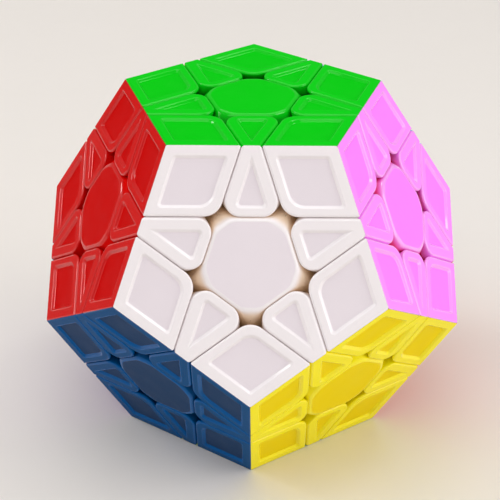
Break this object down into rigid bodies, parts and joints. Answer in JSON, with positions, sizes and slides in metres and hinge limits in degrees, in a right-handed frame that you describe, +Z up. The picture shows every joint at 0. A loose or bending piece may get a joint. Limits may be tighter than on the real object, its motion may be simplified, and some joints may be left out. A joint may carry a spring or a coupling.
{
  "type": "dodecahedron twisty puzzle",
  "caption": "Twelve-sided twisty puzzle with a different colour on each pentagonal face; layers of corner and edge pieces turn about sprung centres.",
  "frame": {"origin": "centre of the core, where all twelve turning axes meet", "axes": "+Z up through the green top face; -Y towards the white front face's side; the solid stands on its lime face"},
  "size_m": [0.0968, 0.1018, 0.0824],
  "materials": {
    "green": "glossy raised rims, fine satin texture on the windows and caps",
    "white": "glossy raised rims, fine satin texture on the windows and caps",
    "pink": "glossy raised rims, fine satin texture on the windows and caps",
    "light_blue": "glossy raised rims, fine satin texture on the windows and caps",
    "cream": "glossy raised rims, fine satin texture on the windows and caps",
    "red": "glossy raised rims, fine satin texture on the windows and caps",
    "yellow": "glossy raised rims, fine satin texture on the windows and caps",
    "orange": "glossy raised rims, fine satin texture on the windows and caps",
    "grey": "glossy raised rims, fine satin texture on the windows and caps",
    "purple": "glossy raised rims, fine satin texture on the windows and caps",
    "blue": "glossy raised rims, fine satin texture on the windows and caps",
    "lime": "glossy raised rims, fine satin texture on the windows and caps",
    "core_plastic": "natural moulded nylon",
    "inner_plastic": "natural moulded ABS",
    "steel": "zinc plated",
    "spring_steel": "drawn wire"
  },
  "bodies": {
    "core_frame": {"core": "core_plastic", "screws": "steel", "springs": "spring_steel", "centre_lime": "lime"},
    "green_centre": {"centre_green": "green"},
    "white_centre": {"centre_white": "white"},
    "pink_centre": {"centre_pink": "pink"},
    "light_blue_centre": {"centre_light_blue": "light_blue"},
    "cream_centre": {"centre_cream": "cream"},
    "red_centre": {"centre_red": "red"},
    "yellow_centre": {"centre_yellow": "yellow", "edge_yellow_lime": "yellow"},
    "orange_centre": {"centre_orange": "orange", "edge_orange_lime": "orange"},
    "grey_centre": {"centre_grey": "grey", "edge_grey_lime": "grey"},
    "purple_centre": {"centre_purple": "purple", "edge_purple_lime": "purple"},
    "blue_centre": {"centre_blue": "blue", "edge_blue_lime": "blue"},
    "green_white_edge": {"edge_green_white": "green"},
    "green_pink_edge": {"edge_green_pink": "green"},
    "green_light_blue_edge": {"edge_green_light_blue": "green"},
    "green_cream_edge": {"edge_green_cream": "green"},
    "green_red_edge": {"edge_green_red": "green"},
    "white_pink_edge": {"edge_white_pink": "white"},
    "white_red_edge": {"edge_white_red": "white"},
    "white_yellow_edge": {"edge_white_yellow": "white"},
    "white_blue_edge": {"edge_white_blue": "white"},
    "pink_light_blue_edge": {"edge_pink_light_blue": "pink"},
    "pink_yellow_edge": {"edge_pink_yellow": "pink"},
    "pink_orange_edge": {"edge_pink_orange": "pink"},
    "light_blue_cream_edge": {"edge_light_blue_cream": "light_blue"},
    "light_blue_orange_edge": {"edge_light_blue_orange": "light_blue"},
    "light_blue_grey_edge": {"edge_light_blue_grey": "light_blue"},
    "cream_red_edge": {"edge_cream_red": "cream"},
    "cream_grey_edge": {"edge_cream_grey": "cream"},
    "cream_purple_edge": {"edge_cream_purple": "cream"},
    "red_purple_edge": {"edge_red_purple": "red"},
    "red_blue_edge": {"edge_red_blue": "red"},
    "yellow_orange_edge": {"edge_corner_yellow_orange": "yellow"},
    "yellow_blue_edge": {"edge_corner_yellow_blue": "yellow"},
    "orange_grey_edge": {"edge_corner_orange_grey": "orange"},
    "grey_purple_edge": {"edge_corner_grey_purple": "grey"},
    "purple_blue_edge": {"edge_corner_purple_blue": "purple"},
    "green_white_pink_corner": {"corner_green_white_pink": "green"},
    "green_white_red_corner": {"corner_green_white_red": "green"},
    "green_pink_light_blue_corner": {"corner_green_pink_light_blue": "green"},
    "green_light_blue_cream_corner": {"corner_green_light_blue_cream": "green"},
    "green_cream_red_corner": {"corner_green_cream_red": "green"},
    "white_pink_yellow_corner": {"corner_white_pink_yellow": "white"},
    "white_red_blue_corner": {"corner_white_red_blue": "white"},
    "white_yellow_blue_corner": {"corner_white_yellow_blue": "white"},
    "pink_light_blue_orange_corner": {"corner_pink_light_blue_orange": "pink"},
    "pink_yellow_orange_corner": {"corner_pink_yellow_orange": "pink"},
    "light_blue_cream_grey_corner": {"corner_light_blue_cream_grey": "light_blue"},
    "light_blue_orange_grey_corner": {"corner_light_blue_orange_grey": "light_blue"},
    "cream_red_purple_corner": {"corner_cream_red_purple": "cream"},
    "cream_grey_purple_corner": {"corner_cream_grey_purple": "cream"},
    "red_purple_blue_corner": {"corner_red_purple_blue": "red"}
  },
  "joints": [
    {"name": "green_face_turn", "type": "hinge", "parent": "core_frame", "child": "green_centre", "pos_m": [0, 0, 0], "axis": [0, 0, 1], "continuous": true},
    {"name": "white_face_turn", "type": "hinge", "parent": "core_frame", "child": "white_centre", "pos_m": [0, 0, 0], "axis": [0, -0.8944, 0.4472], "range_deg": [-360, 360]},
    {"name": "pink_face_turn", "type": "hinge", "parent": "core_frame", "child": "pink_centre", "pos_m": [0, 0, 0], "axis": [0.8507, -0.2764, 0.4472], "range_deg": [-360, 360]},
    {"name": "light_blue_face_turn", "type": "hinge", "parent": "core_frame", "child": "light_blue_centre", "pos_m": [0, 0, 0], "axis": [0.5257, 0.7236, 0.4472], "range_deg": [-360, 360]},
    {"name": "cream_face_turn", "type": "hinge", "parent": "core_frame", "child": "cream_centre", "pos_m": [0, 0, 0], "axis": [-0.5257, 0.7236, 0.4472], "range_deg": [-360, 360]},
    {"name": "red_face_turn", "type": "hinge", "parent": "core_frame", "child": "red_centre", "pos_m": [0, 0, 0], "axis": [-0.8507, -0.2764, 0.4472], "range_deg": [-360, 360]},
    {"name": "yellow_face_turn", "type": "hinge", "parent": "core_frame", "child": "yellow_centre", "pos_m": [0, 0, 0], "axis": [0.5257, -0.7236, -0.4472], "range_deg": [-360, 360]},
    {"name": "orange_face_turn", "type": "hinge", "parent": "core_frame", "child": "orange_centre", "pos_m": [0, 0, 0], "axis": [0.8507, 0.2764, -0.4472], "continuous": true},
    {"name": "grey_face_turn", "type": "hinge", "parent": "core_frame", "child": "grey_centre", "pos_m": [0, 0, 0], "axis": [0, 0.8944, -0.4472], "range_deg": [-360, 360]},
    {"name": "purple_face_turn", "type": "hinge", "parent": "core_frame", "child": "purple_centre", "pos_m": [0, 0, 0], "axis": [-0.8507, 0.2764, -0.4472], "range_deg": [-360, 360]},
    {"name": "blue_face_turn", "type": "hinge", "parent": "core_frame", "child": "blue_centre", "pos_m": [0, 0, 0], "axis": [-0.5257, -0.7236, -0.4472], "continuous": true},
    {"name": "green_white_edge_turn", "type": "hinge", "parent": "green_centre", "child": "green_white_edge", "pos_m": [0, 0, 0], "axis": [0, -0.8944, 0.4472], "range_deg": [-360, 360]},
    {"name": "green_pink_edge_turn", "type": "hinge", "parent": "green_centre", "child": "green_pink_edge", "pos_m": [0, 0, 0], "axis": [0.8507, -0.2764, 0.4472], "range_deg": [-360, 360]},
    {"name": "green_light_blue_edge_turn", "type": "hinge", "parent": "green_centre", "child": "green_light_blue_edge", "pos_m": [0, 0, 0], "axis": [0.5257, 0.7236, 0.4472], "range_deg": [-360, 360]},
    {"name": "green_cream_edge_turn", "type": "hinge", "parent": "green_centre", "child": "green_cream_edge", "pos_m": [0, 0, 0], "axis": [-0.5257, 0.7236, 0.4472], "range_deg": [-360, 360]},
    {"name": "green_red_edge_turn", "type": "hinge", "parent": "green_centre", "child": "green_red_edge", "pos_m": [0, 0, 0], "axis": [-0.8507, -0.2764, 0.4472], "range_deg": [-360, 360]},
    {"name": "white_pink_edge_turn", "type": "hinge", "parent": "white_centre", "child": "white_pink_edge", "pos_m": [0, 0, 0], "axis": [0.8507, -0.2764, 0.4472], "range_deg": [-360, 360]},
    {"name": "white_red_edge_turn", "type": "hinge", "parent": "white_centre", "child": "white_red_edge", "pos_m": [0, 0, 0], "axis": [-0.8507, -0.2764, 0.4472], "range_deg": [-360, 360]},
    {"name": "white_yellow_edge_turn", "type": "hinge", "parent": "white_centre", "child": "white_yellow_edge", "pos_m": [0, 0, 0], "axis": [0.5257, -0.7236, -0.4472], "range_deg": [-360, 360]},
    {"name": "white_blue_edge_turn", "type": "hinge", "parent": "white_centre", "child": "white_blue_edge", "pos_m": [0, 0, 0], "axis": [-0.5257, -0.7236, -0.4472], "continuous": true},
    {"name": "pink_light_blue_edge_turn", "type": "hinge", "parent": "pink_centre", "child": "pink_light_blue_edge", "pos_m": [0, 0, 0], "axis": [0.5257, 0.7236, 0.4472], "range_deg": [-360, 360]},
    {"name": "pink_yellow_edge_turn", "type": "hinge", "parent": "pink_centre", "child": "pink_yellow_edge", "pos_m": [0, 0, 0], "axis": [0.5257, -0.7236, -0.4472], "range_deg": [-360, 360]},
    {"name": "pink_orange_edge_turn", "type": "hinge", "parent": "pink_centre", "child": "pink_orange_edge", "pos_m": [0, 0, 0], "axis": [0.8507, 0.2764, -0.4472], "continuous": true},
    {"name": "light_blue_cream_edge_turn", "type": "hinge", "parent": "light_blue_centre", "child": "light_blue_cream_edge", "pos_m": [0, 0, 0], "axis": [-0.5257, 0.7236, 0.4472], "range_deg": [-360, 360]},
    {"name": "light_blue_orange_edge_turn", "type": "hinge", "parent": "light_blue_centre", "child": "light_blue_orange_edge", "pos_m": [0, 0, 0], "axis": [0.8507, 0.2764, -0.4472], "continuous": true},
    {"name": "light_blue_grey_edge_turn", "type": "hinge", "parent": "light_blue_centre", "child": "light_blue_grey_edge", "pos_m": [0, 0, 0], "axis": [0, 0.8944, -0.4472], "range_deg": [-360, 360]},
    {"name": "cream_red_edge_turn", "type": "hinge", "parent": "cream_centre", "child": "cream_red_edge", "pos_m": [0, 0, 0], "axis": [-0.8507, -0.2764, 0.4472], "range_deg": [-360, 360]},
    {"name": "cream_grey_edge_turn", "type": "hinge", "parent": "cream_centre", "child": "cream_grey_edge", "pos_m": [0, 0, 0], "axis": [0, 0.8944, -0.4472], "range_deg": [-360, 360]},
    {"name": "cream_purple_edge_turn", "type": "hinge", "parent": "cream_centre", "child": "cream_purple_edge", "pos_m": [0, 0, 0], "axis": [-0.8507, 0.2764, -0.4472], "range_deg": [-360, 360]},
    {"name": "red_purple_edge_turn", "type": "hinge", "parent": "red_centre", "child": "red_purple_edge", "pos_m": [0, 0, 0], "axis": [-0.8507, 0.2764, -0.4472], "range_deg": [-360, 360]},
    {"name": "red_blue_edge_turn", "type": "hinge", "parent": "red_centre", "child": "red_blue_edge", "pos_m": [0, 0, 0], "axis": [-0.5257, -0.7236, -0.4472], "continuous": true},
    {"name": "yellow_orange_edge_turn", "type": "hinge", "parent": "yellow_centre", "child": "yellow_orange_edge", "pos_m": [0, 0, 0], "axis": [0.8507, 0.2764, -0.4472], "continuous": true},
    {"name": "yellow_blue_edge_turn", "type": "hinge", "parent": "yellow_centre", "child": "yellow_blue_edge", "pos_m": [0, 0, 0], "axis": [-0.5257, -0.7236, -0.4472], "continuous": true},
    {"name": "orange_grey_edge_turn", "type": "hinge", "parent": "orange_centre", "child": "orange_grey_edge", "pos_m": [0, 0, 0], "axis": [0, 0.8944, -0.4472], "range_deg": [-360, 360]},
    {"name": "grey_purple_edge_turn", "type": "hinge", "parent": "grey_centre", "child": "grey_purple_edge", "pos_m": [0, 0, 0], "axis": [-0.8507, 0.2764, -0.4472], "range_deg": [-360, 360]},
    {"name": "purple_blue_edge_turn", "type": "hinge", "parent": "purple_centre", "child": "purple_blue_edge", "pos_m": [0, 0, 0], "axis": [-0.5257, -0.7236, -0.4472], "continuous": true},
    {"name": "green_white_pink_corner_turn", "type": "hinge", "parent": "green_white_edge", "child": "green_white_pink_corner", "pos_m": [0, 0, 0], "axis": [0.8507, -0.2764, 0.4472], "range_deg": [-360, 360]},
    {"name": "green_white_red_corner_turn", "type": "hinge", "parent": "green_white_edge", "child": "green_white_red_corner", "pos_m": [0, 0, 0], "axis": [-0.8507, -0.2764, 0.4472], "range_deg": [-360, 360]},
    {"name": "green_pink_light_blue_corner_turn", "type": "hinge", "parent": "green_pink_edge", "child": "green_pink_light_blue_corner", "pos_m": [0, 0, 0], "axis": [0.5257, 0.7236, 0.4472], "range_deg": [-360, 360]},
    {"name": "green_light_blue_cream_corner_turn", "type": "hinge", "parent": "green_light_blue_edge", "child": "green_light_blue_cream_corner", "pos_m": [0, 0, 0], "axis": [-0.5257, 0.7236, 0.4472], "range_deg": [-360, 360]},
    {"name": "green_cream_red_corner_turn", "type": "hinge", "parent": "green_cream_edge", "child": "green_cream_red_corner", "pos_m": [0, 0, 0], "axis": [-0.8507, -0.2764, 0.4472], "range_deg": [-360, 360]},
    {"name": "white_pink_yellow_corner_turn", "type": "hinge", "parent": "white_pink_edge", "child": "white_pink_yellow_corner", "pos_m": [0, 0, 0], "axis": [0.5257, -0.7236, -0.4472], "range_deg": [-360, 360]},
    {"name": "white_red_blue_corner_turn", "type": "hinge", "parent": "white_red_edge", "child": "white_red_blue_corner", "pos_m": [0, 0, 0], "axis": [-0.5257, -0.7236, -0.4472], "continuous": true},
    {"name": "white_yellow_blue_corner_turn", "type": "hinge", "parent": "white_yellow_edge", "child": "white_yellow_blue_corner", "pos_m": [0, 0, 0], "axis": [-0.5257, -0.7236, -0.4472], "continuous": true},
    {"name": "pink_light_blue_orange_corner_turn", "type": "hinge", "parent": "pink_light_blue_edge", "child": "pink_light_blue_orange_corner", "pos_m": [0, 0, 0], "axis": [0.8507, 0.2764, -0.4472], "continuous": true},
    {"name": "pink_yellow_orange_corner_turn", "type": "hinge", "parent": "pink_yellow_edge", "child": "pink_yellow_orange_corner", "pos_m": [0, 0, 0], "axis": [0.8507, 0.2764, -0.4472], "continuous": true},
    {"name": "light_blue_cream_grey_corner_turn", "type": "hinge", "parent": "light_blue_cream_edge", "child": "light_blue_cream_grey_corner", "pos_m": [0, 0, 0], "axis": [0, 0.8944, -0.4472], "range_deg": [-360, 360]},
    {"name": "light_blue_orange_grey_corner_turn", "type": "hinge", "parent": "light_blue_orange_edge", "child": "light_blue_orange_grey_corner", "pos_m": [0, 0, 0], "axis": [0, 0.8944, -0.4472], "range_deg": [-360, 360]},
    {"name": "cream_red_purple_corner_turn", "type": "hinge", "parent": "cream_red_edge", "child": "cream_red_purple_corner", "pos_m": [0, 0, 0], "axis": [-0.8507, 0.2764, -0.4472], "range_deg": [-360, 360]},
    {"name": "cream_grey_purple_corner_turn", "type": "hinge", "parent": "cream_grey_edge", "child": "cream_grey_purple_corner", "pos_m": [0, 0, 0], "axis": [-0.8507, 0.2764, -0.4472], "range_deg": [-360, 360]},
    {"name": "red_purple_blue_corner_turn", "type": "hinge", "parent": "red_purple_edge", "child": "red_purple_blue_corner", "pos_m": [0, 0, 0], "axis": [-0.5257, -0.7236, -0.4472], "continuous": true}
  ],
  "couplings": [
    {"joint": "green_white_edge_turn", "follows": "white_face_turn", "ratio": 1},
    {"joint": "green_pink_edge_turn", "follows": "pink_face_turn", "ratio": 1},
    {"joint": "green_light_blue_edge_turn", "follows": "light_blue_face_turn", "ratio": 1},
    {"joint": "green_cream_edge_turn", "follows": "cream_face_turn", "ratio": 1},
    {"joint": "green_red_edge_turn", "follows": "red_face_turn", "ratio": 1},
    {"joint": "white_pink_edge_turn", "follows": "pink_face_turn", "ratio": 1},
    {"joint": "white_red_edge_turn", "follows": "red_face_turn", "ratio": 1},
    {"joint": "white_yellow_edge_turn", "follows": "yellow_face_turn", "ratio": 1},
    {"joint": "white_blue_edge_turn", "follows": "blue_face_turn", "ratio": 1},
    {"joint": "pink_light_blue_edge_turn", "follows": "light_blue_face_turn", "ratio": 1},
    {"joint": "pink_yellow_edge_turn", "follows": "yellow_face_turn", "ratio": 1},
    {"joint": "pink_orange_edge_turn", "follows": "orange_face_turn", "ratio": 1},
    {"joint": "light_blue_cream_edge_turn", "follows": "cream_face_turn", "ratio": 1},
    {"joint": "light_blue_orange_edge_turn", "follows": "orange_face_turn", "ratio": 1},
    {"joint": "light_blue_grey_edge_turn", "follows": "grey_face_turn", "ratio": 1},
    {"joint": "cream_red_edge_turn", "follows": "red_face_turn", "ratio": 1},
    {"joint": "cream_grey_edge_turn", "follows": "grey_face_turn", "ratio": 1},
    {"joint": "cream_purple_edge_turn", "follows": "purple_face_turn", "ratio": 1},
    {"joint": "red_purple_edge_turn", "follows": "purple_face_turn", "ratio": 1},
    {"joint": "red_blue_edge_turn", "follows": "blue_face_turn", "ratio": 1},
    {"joint": "yellow_orange_edge_turn", "follows": "orange_face_turn", "ratio": 1},
    {"joint": "yellow_blue_edge_turn", "follows": "blue_face_turn", "ratio": 1},
    {"joint": "orange_grey_edge_turn", "follows": "grey_face_turn", "ratio": 1},
    {"joint": "grey_purple_edge_turn", "follows": "purple_face_turn", "ratio": 1},
    {"joint": "purple_blue_edge_turn", "follows": "blue_face_turn", "ratio": 1},
    {"joint": "green_white_pink_corner_turn", "follows": "pink_face_turn", "ratio": 1},
    {"joint": "green_white_red_corner_turn", "follows": "red_face_turn", "ratio": 1},
    {"joint": "green_pink_light_blue_corner_turn", "follows": "light_blue_face_turn", "ratio": 1},
    {"joint": "green_light_blue_cream_corner_turn", "follows": "cream_face_turn", "ratio": 1},
    {"joint": "green_cream_red_corner_turn", "follows": "red_face_turn", "ratio": 1},
    {"joint": "white_pink_yellow_corner_turn", "follows": "yellow_face_turn", "ratio": 1},
    {"joint": "white_red_blue_corner_turn", "follows": "blue_face_turn", "ratio": 1},
    {"joint": "white_yellow_blue_corner_turn", "follows": "blue_face_turn", "ratio": 1},
    {"joint": "pink_light_blue_orange_corner_turn", "follows": "orange_face_turn", "ratio": 1},
    {"joint": "pink_yellow_orange_corner_turn", "follows": "orange_face_turn", "ratio": 1},
    {"joint": "light_blue_cream_grey_corner_turn", "follows": "grey_face_turn", "ratio": 1},
    {"joint": "light_blue_orange_grey_corner_turn", "follows": "grey_face_turn", "ratio": 1},
    {"joint": "cream_red_purple_corner_turn", "follows": "purple_face_turn", "ratio": 1},
    {"joint": "cream_grey_purple_corner_turn", "follows": "purple_face_turn", "ratio": 1},
    {"joint": "red_purple_blue_corner_turn", "follows": "blue_face_turn", "ratio": 1}
  ]
}
